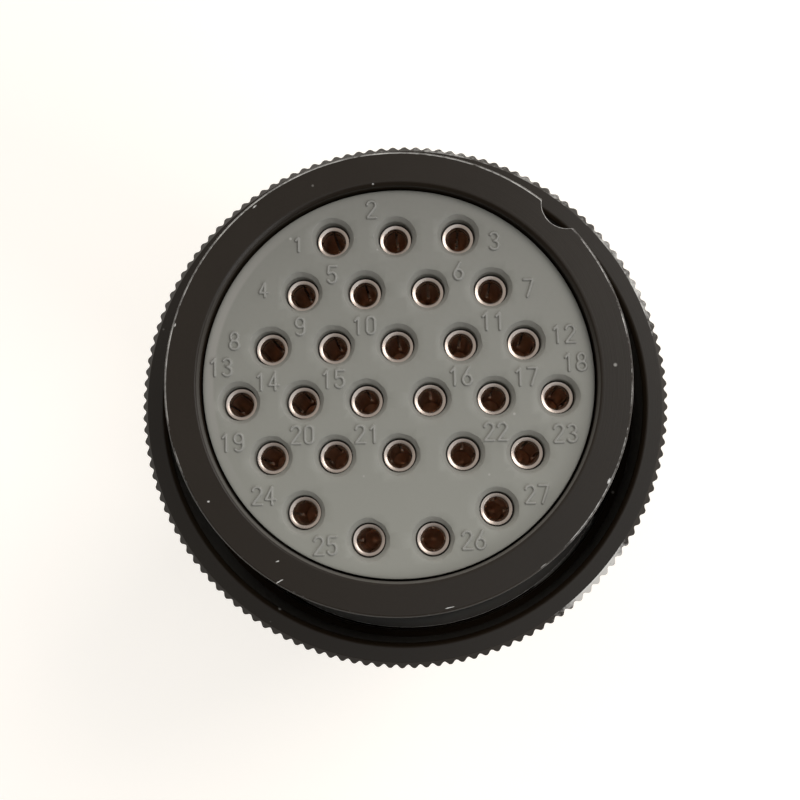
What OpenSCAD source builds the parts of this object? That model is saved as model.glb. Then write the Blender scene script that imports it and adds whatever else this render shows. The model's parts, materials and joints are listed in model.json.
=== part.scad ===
// Circular cable plug for seismic lines: keyed barrel, numbered socket insert, knurled coupling ring,
// hollow backshell and cable gland. It stands on its gland nut, with its mating face up.

/* [Contacts] */
// Distance between neighbouring contacts
contact_pitch = 4.8; // [4.6:0.1:5.6]
// Bore of a contact, for a pin of 1.6
contact_bore_d = 1.65; // [1.3:0.05:1.9]
// Depth of a contact's bore
contact_bore_depth = 8; // [5:0.5:8.5]
// Wall of the spring tines
tine_wall = 0.18; // [0.12:0.02:0.26]
// Width of the slots between the tines
tine_slot_w = 0.22; // [0.14:0.02:0.3]
// Length of the slots between the tines
tine_slot_len = 6; // [3:0.5:7]
// Wall of the steel hood over the tines
hood_wall = 0.22; // [0.16:0.02:0.3]
// How much wider the hood's mouth is than the bore, on each side
hood_mouth_step = 0.06; // [0.04:0.01:0.14]
// Thickness of the hood's inturned front lip
hood_lip = 0.4; // [0.3:0.05:0.6]
// Depth of the hoods below the insert's face
hood_recess = 1.2; // [0.8:0.1:2]
// Height of the collar that traps a contact
collar_len = 2.2; // [1.5:0.1:3]
// How far the collar stands out beyond the hood
collar_step = 0.45; // [0.3:0.05:0.6]
// Diameter of a contact's rear shank
shank_d = 2.4; // [2:0.1:2.8]
// Length of shank behind the rear insulator
shank_tail = 6; // [5:0.5:8]
// Bore of the solder cup
cup_bore_d = 1.7; // [1.2:0.1:1.8]
// Depth of the solder cup
cup_depth = 4; // [3:0.5:4.5]

/* [Insulators] */
// Thickness of the front insulator with its face moulding
insert_len = 12; // [11.5:0.5:16]
// Depth of the insert's face below the rim
insert_recess = 1; // [0.6:0.1:2]
// Material between the outer recesses and the insert's edge
insert_edge = 1.06; // [0.9:0.02:2]
// Width of the low bevel round the insert's face
insert_bevel_w = 0.8; // [0.3:0.1:0.9]
// Height of the low bevel round the insert's face
insert_bevel_h = 0.22; // [0.1:0.02:0.4]
// Step between a cavity's bore and the recess at its mouth
recess_step = 0.26; // [0.2:0.02:0.4]
// Thickness of the face moulding, which is the depth of the recesses round the contacts' mouths
recess_depth = 1.5; // [1:0.1:2.5]
// How far the rear insulator stands out beyond the front one, to seat on the shell's step
seat_step = 1; // [0.6:0.1:1.4]
// Thickness of the rear insulator
rear_len = 10; // [8:0.5:12]
// Depth of the seal groove in the rear insulator
rear_groove_depth = 1.5; // [1:0.1:1.6]
// Height of the threaded ring behind the insulators
insert_nut_len = 3.5; // [2.5:0.5:5]
// Radial width of the threaded ring
insert_nut_w = 2.1; // [1.5:0.1:2.3]
// Width of the spanner slots in the threaded ring
spanner_slot_w = 3; // [2:0.5:5]
// Depth of the spanner slots
spanner_slot_depth = 1.4; // [0.8:0.2:2]

/* [Shell] */
// Open gap round the insert's face
insert_gap = 0.14; // [0.1:0.02:0.4]
// Wall of the barrel
barrel_wall = 2.6; // [2.3:0.05:4]
// Length of barrel in front of the coupling ring
barrel_reach = 13.5; // [10:0.5:18]
// Inward run of the lead-in at the barrel's nose
nose_in = 0.12; // [0.06:0.02:1]
// Length of the lead-in at the barrel's nose
nose_len = 0.15; // [0.1:0.05:4]
// Chamfer at the rim's inner edge
rim_chamfer = 0.25; // [0.15:0.05:0.6]
// Radius of the round keyway
key_r = 1.95; // [1.2:0.05:2.6]
// Depth of the keyway in the barrel
key_depth = 0.95; // [0.6:0.05:1.3]
// Direction of the keyway, counted from the contact rows
key_angle = 45; // [0:5:355]
// Length of the shell's rear stub
stub_len = 11.7; // [8:0.1:13.5]
// Step between the rear stub and the hub that the ring turns on
hub_step = 1.3; // [1.1:0.1:1.6]
// Thickness of the shoulder that the ring pulls on
shoulder_len = 2.5; // [2:0.5:5]
// Depth of the neck that keeps the gasket on the barrel
neck_depth = 0.6; // [0.5:0.05:1]

/* [Coupling ring] */
// Width of the gap round the barrel for the mating shell
mating_gap = 3; // [2.6:0.05:4.5]
// Depth of the threaded gap in front of the gasket
mating_depth = 9.2; // [6:0.2:14]
// Wall of the ring between its thread and the knurl
ring_wall = 1.85; // [1:0.05:3]
// Number of knurl teeth
knurl_teeth = 138; // [80:2:160]
// Height of the knurl teeth
knurl_h = 0.3; // [0.2:0.01:0.45]
// Chamfer at the ring's front edge
ring_chamfer = 0.55; // [0.05:0.05:0.7]
// Lead-in chamfer at the ring's mouth
ring_lead = 0.3; // [0.1:0.05:0.5]
// Plain collar behind the knurl
ring_tail = 3.2; // [2:0.2:6]
// Width of the ledge that carries the bearing ring
ring_ledge = 0.4; // [0.3:0.05:0.6]
// Length of the bearing ring that runs on the hub
bearing_len = 5.7; // [3:0.1:10]
// Running clearance between the bearing ring and the hub
run_clear = 0.05; // [0.02:0.01:0.1]
// Play between the turning ring and its neighbours
ring_play = 0.3; // [0.2:0.05:0.5]
// Thickness of the thrust washer
thrust_washer_t = 0.8; // [0.5:0.1:1.5]
// Thickness of the retaining ring
retainer_t = 1.1; // [0.8:0.1:1.6]
// How far the retaining ring stands out of its groove
retainer_out = 1.3; // [0.8:0.1:1.4]
// Depth of the retaining ring's groove
retainer_in = 0.7; // [0.5:0.1:0.9]
// Open part of the retaining ring, in degrees
retainer_open = 24; // [10:2:60]
// Thickness of the face gasket
gasket_t = 1.3; // [0.8:0.1:2.5]
// Radial width of the face gasket
gasket_w = 2.1; // [1.5:0.1:2.6]

/* [Backshell] */
// Wall of the backshell round the rear stub
backshell_wall = 2.9; // [2:0.1:4]
// Length of the backshell's full-width part
backshell_len = 16; // [14.5:0.5:24]
// Length of the backshell's taper
taper_len = 14; // [12:0.5:24]
// Length of the backshell's hex
hex_len = 7; // [5:0.5:12]
// Width across the flats of the hexes
hex_af = 33; // [32.5:0.5:36]
// How far the turned corners of the hexes stand out beyond the flats
hex_corner = 1.4; // [1:0.1:2]
// Depth of the two wrench flats
wrench_flat = 1.1; // [0.5:0.1:1.5]
// Length of the wrench flats
wrench_flat_len = 9; // [6:0.5:12]
// Depth of the seal groove behind the hub
stub_groove_depth = 0.8; // [0.6:0.1:0.9]

/* [Gland] */
// Bore of the cable seal, for the largest cable
cable_d = 16.5; // [10:0.5:17]
// Wall of the rubber cable seal
bushing_wall = 3; // [2:0.25:3.5]
// Length of the rubber cable seal
bushing_len = 12; // [11:0.5:18]
// Chamfer at the seal's ends
bushing_chamfer = 0.8; // [0.3:0.1:1.2]
// Wall of the threaded stub round the seal
gland_wall = 2.2; // [1.8:0.1:2.5]
// Length of the metal follower behind the seal
follower_len = 3.5; // [3:0.5:6]
// Thickness of the washer in front of the seal
seat_washer_t = 1.5; // [1:0.1:3]
// Wall of the gland nut's end
nut_lip = 4; // [3:0.5:6]
// Length of the gland nut
nut_len = 20; // [16:0.5:20.5]
// Radius of the gland nut's round end
nut_end_r = 15.2; // [14.5:0.1:16]
// Length of the gland nut's round end
nut_end_len = 5; // [3:0.5:8]
// Slack that leaves room to tighten the gland nut
nut_slack = 2; // [1:0.25:2.5]

/* [Hidden] */
$fn = 96;
// Overshoot of a cut beyond the faces that it opens
cut = 1;
// Radial clearance of threads and seated inner pieces
fit_clear = 0.05;
// Radial clearance of loosely held pieces
loose_clear = 0.1;
// Gap left at a seal or hood so that it only just touches
kiss = 0.02;
// Chamfer on plain turned edges
edge = 0.4;

// Contact field: a triangular lattice with the plug's axis at the middle of one of its triangles
row_step = contact_pitch * sqrt(3) / 2;
row_counts = [3, 4, 5, 6, 5];
row_top = 3 * row_step - row_step / 3;
row_low = row_top - 5 * row_step;
pattern_r = contact_pitch * sqrt(19 / 3);
pair_y = -sqrt(pow(pattern_r, 2) - pow(contact_pitch / 2, 2));
row_places = [
  for (row = [0 : len(row_counts) - 1], i = [0 : row_counts[row] - 1])
    [(i - (row_counts[row] - 1) / 2) * contact_pitch, row_top - row * row_step]
];
low_places = [
  [-1.5 * contact_pitch, row_low],
  [-0.5 * contact_pitch, pair_y],
  [0.5 * contact_pitch, pair_y],
  [1.5 * contact_pitch, row_low]
];
contact_places = concat(row_places, low_places);

// Radii from a contact outwards
bore_r = contact_bore_d / 2;
tine_r = bore_r + tine_wall;
hood_in_r = tine_r + kiss;
hood_r = hood_in_r + hood_wall;
mouth_r = bore_r + hood_mouth_step;
collar_r = hood_r + collar_step;
cavity_r = hood_r + loose_clear;
pocket_r = collar_r + loose_clear;
recess_r = cavity_r + recess_step;
shank_r = shank_d / 2;

// Radii from the insert outwards
insert_r = pattern_r + recess_r + insert_edge;
rear_r = insert_r + seat_step;
seat_r = rear_r + fit_clear;
barrel_bore_r = insert_r + insert_gap;
barrel_r = barrel_bore_r + barrel_wall;
key_place_r = barrel_r - key_depth + key_r;
neck_r = barrel_r - neck_depth;
ring_bore_r = barrel_r + mating_gap;
shoulder_r = ring_bore_r - ring_play;
knurl_root_r = ring_bore_r + ring_wall;
ring_r = knurl_root_r + knurl_h;
counterbore_r = ring_bore_r - ring_ledge;
retainer_out_r = counterbore_r - ring_play;
hub_r = retainer_out_r - retainer_out;
retainer_in_r = hub_r - retainer_in;
bearing_r = hub_r + run_clear;
stub_r = hub_r - hub_step;
stub_wall = stub_r - seat_r;
stub_groove_r = stub_r - stub_groove_depth;
backshell_bore_r = stub_r + fit_clear;
backshell_r = backshell_bore_r + backshell_wall;
chamber_r = seat_r - stub_wall / 2;
rear_groove_r = rear_r - rear_groove_depth;

// Radii of the gland
cable_r = cable_d / 2;
throat_r = cable_r + 3 * loose_clear;
bushing_r = cable_r + bushing_wall;
gland_bore_r = bushing_r + loose_clear;
gland_r = gland_bore_r + gland_wall;
nut_bore_r = gland_r + fit_clear;
hex_r = hex_af / 2 + hex_corner;

// Heights from the gland nut's end upwards
z_bushing = nut_lip + follower_len;
z_seat_washer = z_bushing + bushing_len;
z_seat = z_seat_washer + seat_washer_t;
z_gland = nut_lip + nut_slack;
z_hex = nut_len + nut_slack / 2;
z_taper = z_hex + hex_len;
z_full = z_taper + taper_len;
z_hub = z_full + backshell_len;
z_stub = z_hub - stub_len;
z_thread = z_stub - ring_play;
z_stub_groove = z_hub - stub_groove_depth - 3 * loose_clear;
z_ring = z_hub + ring_play;
z_retainer = z_ring + ring_play;
z_ledge = z_retainer + retainer_t + ring_play;
z_bearing_top = z_ledge + bearing_len;
z_shoulder = z_bearing_top + thrust_washer_t + ring_play;
z_gasket = z_shoulder + shoulder_len;
z_barrel = z_gasket + gasket_t + loose_clear;
z_ring_top = z_gasket + gasket_t + mating_depth;
z_rim = z_ring_top + barrel_reach;
z_face = z_rim - insert_recess;
z_seam = z_face - recess_depth;
z_insert = z_face - insert_len;
z_rear = z_insert - rear_len;
z_insert_nut = z_rear - insert_nut_len;
z_rear_groove = z_rear + rear_len / 2;

// Heights of a contact
z_neck = z_insert - loose_clear;
z_collar = z_neck - collar_len;
z_hood = z_neck + kiss;
z_mouth = z_face - hood_recess;
z_tine = z_mouth - hood_lip - kiss;
z_cup = z_rear - shank_tail;

function contact_name(i) = str("socket_contact_", i < 10 ? "0" : "", i);

// Solid of revolution from a list of [radius, height] points
module turned(profile) {
  rotate_extrude() polygon(profile);
}

// Plain ring between two radii and two heights
module washer(r_in, r_out, z0, z1) {
  turned([[r_in, z0], [r_out, z0], [r_out, z1], [r_in, z1]]);
}

// Ring of round section that rests on a groove's floor
module oring(floor_r, section_d, z) {
  rotate_extrude() translate([floor_r + section_d / 2, z]) circle(d = section_d);
}

module at_contacts() {
  for (place = contact_places) translate(place) children();
}

// Hexagonal bar with its corners turned off
module hex_bar(z0, z1) {
  intersection() {
    translate([0, 0, z0]) cylinder(d = hex_af / cos(30), h = z1 - z0, $fn = 6);
    turned([
      [0, z0], [hex_r - 2 * edge, z0], [hex_r, z0 + edge],
      [hex_r, z1 - edge], [hex_r - 2 * edge, z1], [0, z1]
    ]);
  }
}

// Barrel, shoulder, hub and rear stub, turned from one bar, with the keyway milled along the barrel
module plug_shell() {
  color([0.19, 0.17, 0.155]) difference() {
    turned([
      [seat_r, z_stub], [stub_r - edge, z_stub], [stub_r, z_stub + edge],
      [stub_r, z_stub_groove], [stub_groove_r, z_stub_groove], [stub_groove_r, z_hub],
      [hub_r, z_hub], [hub_r, z_retainer - kiss], [retainer_in_r, z_retainer - kiss],
      [retainer_in_r, z_retainer + retainer_t + kiss], [hub_r, z_retainer + retainer_t + kiss],
      [hub_r, z_shoulder], [shoulder_r, z_shoulder], [shoulder_r, z_gasket - edge / 2],
      [shoulder_r - edge / 2, z_gasket], [neck_r, z_gasket], [neck_r, z_barrel], [barrel_r, z_barrel],
      [barrel_r, z_rim - nose_len], [barrel_r - nose_in, z_rim],
      [barrel_bore_r + rim_chamfer, z_rim], [barrel_bore_r, z_rim - rim_chamfer],
      [barrel_bore_r, z_insert], [seat_r, z_insert]
    ]);
    rotate(key_angle) translate([key_place_r, 0, z_barrel + edge])
      cylinder(r = key_r, h = z_rim - z_barrel + cut);
  }
}

// Outline of the knurl: round teeth that meet in sharp valleys
module knurl_outline() {
  half_tooth = ring_r * sin(180 / knurl_teeth);
  tooth_r = (pow(half_tooth, 2) + pow(knurl_h, 2)) / (2 * knurl_h);
  circle(r = knurl_root_r);
  for (i = [0 : knurl_teeth - 1])
    rotate(i * 360 / knurl_teeth) translate([ring_r - tooth_r, 0]) circle(r = tooth_r, $fn = 32);
}

// Knurled ring with an inside thread zone, and a ledge at its rear that carries the bearing ring
module coupling_ring() {
  tail_r = knurl_root_r - knurl_h;
  z_knurl = z_ring + ring_tail;
  color([0.2, 0.18, 0.165]) difference() {
    union() {
      turned([
        [0, z_ring], [tail_r - edge, z_ring], [tail_r, z_ring + edge],
        [tail_r, z_ring_top - cut], [0, z_ring_top - cut]
      ]);
      intersection() {
        translate([0, 0, z_knurl]) linear_extrude(z_ring_top - z_knurl) knurl_outline();
        turned([
          [0, z_knurl], [tail_r, z_knurl], [ring_r, z_knurl + ring_r - tail_r],
          [ring_r, z_ring_top - ring_chamfer], [ring_r - ring_chamfer, z_ring_top], [0, z_ring_top]
        ]);
      }
    }
    turned([
      [0, z_ring - cut], [counterbore_r, z_ring - cut], [counterbore_r, z_ledge], [ring_bore_r, z_ledge],
      [ring_bore_r, z_ring_top - ring_lead], [ring_bore_r + ring_lead, z_ring_top],
      [ring_bore_r + ring_lead, z_ring_top + cut], [0, z_ring_top + cut]
    ]);
  }
}

// Plain bearing ring on the coupling ring's ledge, which pulls on the shoulder through the thrust washer
module coupling_bearing() {
  color("silver") washer(bearing_r, ring_bore_r - fit_clear, z_ledge, z_bearing_top);
}

// Split spring ring in the hub's groove
module coupling_retainer() {
  color("dimgray") rotate(180 + retainer_open / 2) rotate_extrude(angle = 360 - retainer_open)
    translate([retainer_in_r + kiss, z_retainer])
      square([retainer_out_r - retainer_in_r - kiss, retainer_t]);
}

module coupling_washer() {
  color("silver") washer(hub_r + loose_clear, shoulder_r - loose_clear,
    z_shoulder - thrust_washer_t, z_shoulder);
}

module interface_gasket() {
  color([0.06, 0.06, 0.06]) washer(neck_r, neck_r + gasket_w, z_gasket, z_gasket + gasket_t);
}

// Face moulding: a recess round each contact's mouth
module insert_face() {
  color([0.49, 0.485, 0.46]) difference() {
    turned([
      [0, z_seam], [insert_r, z_seam], [insert_r, z_face - insert_bevel_h],
      [insert_r - insert_bevel_w, z_face], [0, z_face]
    ]);
    at_contacts() translate([0, 0, z_seam - cut]) cylinder(r = recess_r, h = recess_depth + 2 * cut);
  }
}

// Front insulator, bonded between the face moulding and the rear insulator: a cavity for each contact
module socket_insert() {
  color([0.49, 0.485, 0.46]) difference() {
    translate([0, 0, z_insert]) cylinder(r = insert_r, h = z_seam - z_insert);
    at_contacts() translate([0, 0, z_insert - cut]) cylinder(r = cavity_r, h = insert_len + cut);
  }
}

// Rear insulator, seated on the step in the shell's bore: the collars rest in its pockets
module rear_insulator() {
  groove_h = rear_groove_depth + loose_clear;
  hole_r = shank_r + loose_clear;
  color([0.3, 0.3, 0.29]) difference() {
    turned([
      [0, z_rear], [rear_r, z_rear], [rear_r, z_rear_groove - groove_h / 2],
      [rear_groove_r, z_rear_groove - groove_h / 2], [rear_groove_r, z_rear_groove + groove_h / 2],
      [rear_r, z_rear_groove + groove_h / 2], [rear_r, z_insert], [0, z_insert]
    ]);
    at_contacts() turned([
      [0, z_rear - cut], [hole_r, z_rear - cut], [hole_r, z_collar], [pocket_r, z_collar],
      [pocket_r, z_insert + cut], [0, z_insert + cut]
    ]);
  }
}

module insert_oring() {
  color([0.06, 0.06, 0.06]) oring(rear_groove_r, rear_groove_depth + fit_clear - kiss, z_rear_groove);
}

// Threaded ring behind the insulators, with two spanner slots
module insert_nut() {
  color("gray") difference() {
    washer(rear_r - insert_nut_w, rear_r, z_insert_nut, z_rear);
    translate([-seat_r, -spanner_slot_w / 2, z_insert_nut - cut])
      cube([2 * seat_r, spanner_slot_w, spanner_slot_depth + cut]);
  }
}

// Turned contact: solder cup, shank, collar, and a bored front that crossed slots split into tines
module socket_contact(i) {
  bore_end = z_tine - contact_bore_depth;
  color([0.72, 0.5, 0.25]) translate(contact_places[i - 1]) difference() {
    turned([
      [0, z_cup], [shank_r, z_cup], [shank_r, z_collar], [collar_r, z_collar], [collar_r, z_neck],
      [tine_r, z_neck], [tine_r, z_tine], [0, z_tine]
    ]);
    turned([
      [0, bore_end - bore_r / 2], [bore_r, bore_end], [bore_r, z_tine + cut], [0, z_tine + cut]
    ]);
    for (turn = [0, 90]) rotate(turn)
      translate([-hood_r, -tine_slot_w / 2, z_tine - tine_slot_len])
        cube([2 * hood_r, tine_slot_w, tine_slot_len + cut]);
    translate([0, 0, z_cup - cut]) cylinder(d = cup_bore_d, h = cup_depth + cut);
    translate([-shank_r, shank_r / 3, z_cup - cut]) cube([shank_d, shank_d, cup_depth / 2 + cut]);
  }
}

// Thin hoods with rounded, inturned front lips, one over each contact's tines
module contact_hoods() {
  lip_mid_r = (hood_r + mouth_r) / 2;
  lip_round = (hood_r - mouth_r) / 2;
  color("silver") at_contacts() turned(concat(
    [[hood_in_r, z_hood], [hood_r, z_hood]],
    [for (a = [0 : 30 : 180]) [lip_mid_r + lip_round * cos(a), z_mouth - lip_round + lip_round * sin(a)]],
    [[mouth_r, z_mouth - hood_lip], [hood_in_r, z_mouth - hood_lip]]
  ));
}

// Hollow rear housing: gland stub, hex, taper and threaded front with two wrench flats
module backshell() {
  color([0.19, 0.17, 0.155]) difference() {
    union() {
      turned([
        [0, z_gland], [gland_r - edge, z_gland], [gland_r, z_gland + edge], [gland_r, z_hex], [0, z_hex]
      ]);
      hex_bar(z_hex, z_taper);
      turned([
        [0, z_taper], [hex_af / 2 - edge, z_taper], [backshell_r, z_full],
        [backshell_r, z_hub - edge], [backshell_r - edge, z_hub], [0, z_hub]
      ]);
    }
    turned([
      [0, z_gland - cut], [gland_bore_r, z_gland - cut], [gland_bore_r, z_seat], [throat_r, z_seat],
      [throat_r, z_taper], [chamber_r, z_full], [chamber_r, z_thread], [backshell_bore_r, z_thread],
      [backshell_bore_r, z_hub + cut], [0, z_hub + cut]
    ]);
    for (side = [0, 180]) rotate(side)
      translate([backshell_r - wrench_flat, -backshell_r, z_full + edge])
        cube([backshell_r, 2 * backshell_r, wrench_flat_len]);
  }
}

module backshell_oring() {
  section_d = stub_groove_depth + fit_clear - kiss;
  color([0.06, 0.06, 0.06]) oring(stub_groove_r, section_d, (z_stub_groove + z_hub) / 2);
}

module gland_seat_washer() {
  color("silver") washer(throat_r, bushing_r, z_seat_washer, z_seat);
}

// Rubber seal that the nut squeezes onto the cable
module gland_bushing() {
  color([0.08, 0.08, 0.08]) turned([
    [cable_r, z_bushing], [bushing_r - bushing_chamfer, z_bushing], [bushing_r, z_bushing + bushing_chamfer],
    [bushing_r, z_seat_washer - bushing_chamfer], [bushing_r - bushing_chamfer, z_seat_washer],
    [cable_r, z_seat_washer]
  ]);
}

module gland_follower() {
  color("silver") washer(throat_r, bushing_r, nut_lip, z_bushing);
}

// Hex nut with a round end, a cable hole and a threaded chamber
module gland_nut() {
  color([0.2, 0.18, 0.165]) difference() {
    union() {
      turned([
        [0, 0], [nut_end_r - 2 * edge, 0], [nut_end_r, 2 * edge],
        [nut_end_r, nut_end_len], [0, nut_end_len]
      ]);
      hex_bar(nut_end_len, nut_len);
    }
    turned([
      [0, -cut], [throat_r + edge + cut, -cut], [throat_r, edge], [throat_r, nut_lip],
      [nut_bore_r, nut_lip], [nut_bore_r, nut_len + cut], [0, nut_len + cut]
    ]);
  }
}

plug_shell();
coupling_ring();
coupling_bearing();
coupling_retainer();
coupling_washer();
interface_gasket();
insert_face();
socket_insert();
rear_insulator();
insert_oring();
insert_nut();
contact_hoods();
backshell();
backshell_oring();
gland_seat_washer();
gland_bushing();
gland_follower();
gland_nut();
for (i = [1 : len(contact_places)])
  socket_contact(i);
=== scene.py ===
"""Looks of a circular cable plug, built round its CAD frame. Sizes are in mm until a mesh is made."""
import json
import math

import bpy
import numpy as np
from mathutils import Euler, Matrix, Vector
from mathutils.geometry import delaunay_2d_cdt


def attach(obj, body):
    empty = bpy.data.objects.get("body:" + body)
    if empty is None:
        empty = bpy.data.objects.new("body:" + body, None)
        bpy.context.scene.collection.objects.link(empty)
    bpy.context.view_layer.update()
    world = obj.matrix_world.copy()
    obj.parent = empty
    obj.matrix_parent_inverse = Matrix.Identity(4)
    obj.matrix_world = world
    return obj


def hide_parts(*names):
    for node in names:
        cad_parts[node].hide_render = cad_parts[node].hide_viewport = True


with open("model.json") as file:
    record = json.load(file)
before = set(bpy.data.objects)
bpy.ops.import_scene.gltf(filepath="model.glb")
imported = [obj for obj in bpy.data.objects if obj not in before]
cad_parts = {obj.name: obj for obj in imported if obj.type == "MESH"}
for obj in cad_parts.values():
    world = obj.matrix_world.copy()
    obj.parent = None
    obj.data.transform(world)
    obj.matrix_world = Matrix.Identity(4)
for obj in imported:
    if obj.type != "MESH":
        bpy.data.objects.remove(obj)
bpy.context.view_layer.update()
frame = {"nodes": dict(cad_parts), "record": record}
MM = 0.001

# Contact field: five rows on a triangular grid, and four more contacts on the circle round them
PITCH = 4.8
ROW = PITCH * math.sqrt(3) / 2
ROW_COUNTS = (3, 4, 5, 6, 5)
TOP_Y = 3 * ROW - ROW / 3
LOW_Y = TOP_Y - len(ROW_COUNTS) * ROW
PATTERN_R = PITCH * math.sqrt(19 / 3)
PAIR_Y = -math.sqrt(PATTERN_R ** 2 - (PITCH / 2) ** 2)
PLACES = [((i - (n - 1) / 2) * PITCH, TOP_Y - row * ROW)
          for row, n in enumerate(ROW_COUNTS) for i in range(n)]
PLACES += [(-1.5 * PITCH, LOW_Y), (-PITCH / 2, PAIR_Y), (PITCH / 2, PAIR_Y), (1.5 * PITCH, LOW_Y)]
PLACES = np.array(PLACES)

# Radii
MOUTH_R, HOOD_IN_R, HOOD_R = 0.92, 1.025, 1.245
CAVITY_R, RECESS_R = 1.345, 1.605
INSERT_R, SEAT_R = 14.745, 15.795
BORE_R, BARREL_R, NECK_R = 14.885, 17.485, 16.885
RING_BORE_R, KNURL_ROOT_R, RING_R = 20.485, 22.335, 22.635
COUNTERBORE_R, SHOULDER_R, HUB_R, RETAINER_R = 20.085, 20.185, 18.485, 17.785
STUB_R, STUB_GROOVE_R = 17.185, 16.385
SHELL_BORE_R, SHELL_R, CHAMBER_R = 17.235, 20.135, 15.1
THROAT_R, GLAND_BORE_R, GLAND_R, NUT_BORE_R = 8.55, 11.35, 13.55, 13.6
HEX_HALF, HEX_CORNER_R, NUT_END_R = 16.5, 17.9, 15.2
KEY_R, KEY_PLACE_R, KEY_ANGLE = 1.95, 18.485, math.radians(45)

# Heights
NUT_LIP, NUT_END_Z, NUT_LEN = 4.0, 5.0, 20.0
Z_GLAND, Z_SEAT, Z_HEX, Z_TAPER, Z_FULL, Z_THREAD, Z_STUB = 6.0, 21.0, 21.0, 28.0, 42.0, 46.0, 46.3
Z_HUB, Z_RING, Z_RETAINER, Z_LEDGE, Z_SHOULDER = 58.0, 58.3, 58.6, 60.0, 66.8
Z_GASKET, Z_BARREL, Z_RING_TOP, Z_RIM, Z_FACE = 69.3, 70.7, 79.8, 93.3, 92.3
Z_INSERT, Z_NECK, Z_TINE, Z_SEAM, Z_MOUTH = 80.3, 80.2, 90.68, 90.8, 91.1
STUB_GROOVE_Z, FLAT_Z0, FLAT_Z1 = 56.9, 42.4, 51.4

# Bevels, fillets, small steps and counts
EDGE, RIM_BEVEL_R, RIM_BEVEL_Z, BORE_BEVEL, FILLET, RIM_FILLET = 0.4, 0.12, 0.15, 0.25, 0.05, 0.1
RING_CHAMFER, RING_BORE_BEVEL, RING_FOOT, RETAINER_W = 0.55, 0.3, 3.2, 1.1
FLAT_DEPTH, STEP, TEETH = 1.1, 0.02, 138


# Shapes
def noise(seed, n):
    """Repeatable random numbers between -1 and 1."""
    return np.random.default_rng(seed).uniform(-1, 1, n)


def even_turn(n):
    """Angles at even steps round the axis."""
    return np.arange(n) * 2 * math.pi / n


def smooth(share):
    """Eases a share from 0 to 1, with level ends."""
    share = np.clip(share, 0, 1)
    return share * share * (3 - 2 * share)


def stretch(angles, centre, width):
    """Share that fades out to both sides of a centre as exp(-(distance / width)^2), given in degrees."""
    away = (angles - math.radians(centre) + math.pi) % (2 * math.pi) - math.pi
    return np.exp(-(away / math.radians(width)) ** 2)


def rounded(corners, fillets, steps):
    """Rounds the corners of closed outlines, (columns, n, 2): each corner becomes an arc of the given radius
    that touches both sides, between two guard points on the sides. Returns the points and a mark that is 1
    on the arcs of outer corners and 0 elsewhere."""
    most_cut, most_guard, tiny = 0.42, 0.06, 1e-3
    before, after = np.roll(corners, 1, 1) - corners, np.roll(corners, -1, 1) - corners
    l0, l1 = np.linalg.norm(before, axis=2), np.linalg.norm(after, axis=2)
    d0, d1 = before / l0[..., None], after / l1[..., None]
    shorter = np.minimum(l0, l1)
    half = np.arccos(np.clip((d0 * d1).sum(2), -1, 1)) / 2
    tan = np.tan(np.clip(half, 0.05, math.pi / 2 - 1e-4))
    cut = np.minimum(np.asarray(fillets)[None] / tan, most_cut * shorter)
    guard = np.minimum(np.maximum(0.5 * cut, STEP), most_guard * shorter + 1e-4)
    radius = cut * tan
    mid = d0 + d1
    length = np.linalg.norm(mid, axis=2, keepdims=True)
    mid = np.where(length > tiny, mid / np.maximum(length, 1e-9), 0)
    centre = corners + mid * (radius / np.maximum(np.sin(half), tiny))[..., None]
    p0, p1 = corners + d0 * cut[..., None], corners + d1 * cut[..., None]
    turn = d1[..., 0] * d0[..., 1] - d1[..., 1] * d0[..., 0]
    outer, none = np.clip(turn * 2, 0, 1), np.zeros(turn.shape)
    rows = [corners + d0 * (cut + guard)[..., None]]
    for i in range(steps + 1):
        s = i / steps
        chord = p0 * (1 - s) + p1 * s
        arm = chord - centre
        size = np.linalg.norm(arm, axis=2, keepdims=True)
        on_arc = centre + arm / np.maximum(size, 1e-9) * radius[..., None]
        rows.append(np.where(length > tiny, on_arc, chord))
    rows.append(corners + d1 * (cut + guard)[..., None])
    marks = [none] + [outer] * (steps + 1) + [none]
    points = np.stack(rows, 2).reshape(len(corners), -1, 2)
    return points, np.stack(marks, 2).reshape(len(corners), -1)


def grid_faces(rows, columns, close_rows=True):
    """Four-sided faces of a grid that is closed across its columns and, if asked, across its rows."""
    i = np.arange(rows if close_rows else rows - 1)[:, None] * columns
    i1 = (i + columns) % (rows * columns)
    j = np.arange(columns)[None]
    j1 = (j + 1) % columns
    return np.stack([i + j, i + j1, i1 + j1, i1 + j], -1).reshape(-1, 4)


def revolve(points, angles):
    """Places each column's outline (r, z) at its angle round the axis: x = r cos a, y = r sin a. One column
    serves for all angles."""
    r, z = points[..., 0].T, points[..., 1].T
    if r.shape[1] == 1:
        r, z = np.repeat(r, len(angles), 1), np.repeat(z, len(angles), 1)
    return np.stack([r * np.cos(angles), r * np.sin(angles), z], -1)


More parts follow.
